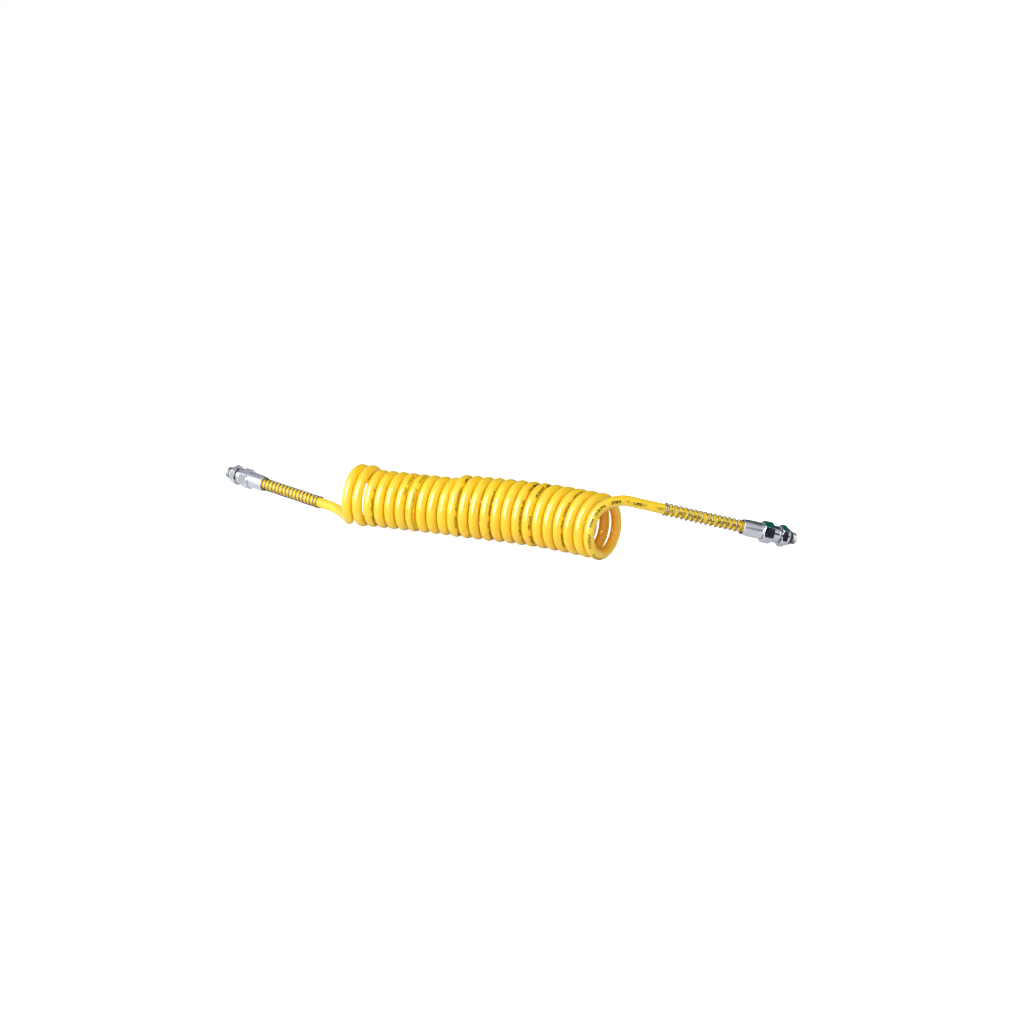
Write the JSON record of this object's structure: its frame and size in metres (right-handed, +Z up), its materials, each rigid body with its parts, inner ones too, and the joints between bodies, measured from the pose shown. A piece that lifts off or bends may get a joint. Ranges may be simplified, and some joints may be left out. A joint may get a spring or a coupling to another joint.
{
  "type": "coiled air hose",
  "caption": "Coiled plastic air hose lying on its side, with a bend-guard spring and a swivelling male threaded fitting at each end; it stretches along its coil.",
  "frame": {"origin": "on the bench, under the middle of the whole part's box", "axes": "+X along the coil towards the end that is drawn out, -Y towards the viewer, +Z up"},
  "size_m": [0.7262, 0.1616, 0.0764],
  "materials": {
    "hose": "smooth glossy yellow tube",
    "spring_steel": "drawn steel wire",
    "plated_fitting": "bright zinc plate",
    "insert_brass": "turned brass",
    "grip_plastic": "moulded plastic",
    "seal_rubber": "black rubber"
  },
  "bodies": {
    "left_end": {"hose_coil": "hose", "hose_tail_left": "hose", "kink_spring_left": "spring_steel", "ferrule_sleeve_left": "plated_fitting", "tube_insert_left": "insert_brass", "grip_ring_left": "grip_plastic", "hose_seal_left": "seal_rubber", "fitting_body_left": "plated_fitting"},
    "left_swivel": {"swivel_stem_left": "plated_fitting", "swivel_seal_left": "seal_rubber", "snap_ring_left": "spring_steel", "port_oring_left": "seal_rubber"},
    "right_end": {"hose_tail_right": "hose", "kink_spring_right": "spring_steel", "ferrule_sleeve_right": "plated_fitting", "tube_insert_right": "insert_brass", "grip_ring_right": "grip_plastic", "hose_seal_right": "seal_rubber", "fitting_body_right": "plated_fitting"},
    "right_swivel": {"swivel_stem_right": "plated_fitting", "swivel_seal_right": "seal_rubber", "snap_ring_right": "spring_steel", "port_oring_right": "seal_rubber"}
  },
  "joints": [
    {"name": "coil_stretch", "type": "slide", "parent": "left_end", "child": "right_end", "axis": [1, 0, 0], "range_m": [0, 2.4], "stiffness_N_per_m": 6, "deforming": ["hose_coil"]},
    {"name": "left_swivel_turn", "type": "hinge", "parent": "left_end", "child": "left_swivel", "pos_m": [-0.34002, 0.06645, 0.01351], "axis": [-0.9311, 0.363, 0.0349], "continuous": true},
    {"name": "right_swivel_turn", "type": "hinge", "parent": "right_end", "child": "right_swivel", "pos_m": [0.34149, 0.06115, 0.01491], "axis": [0.806, 0.5175, -0.2874], "continuous": true}
  ]
}
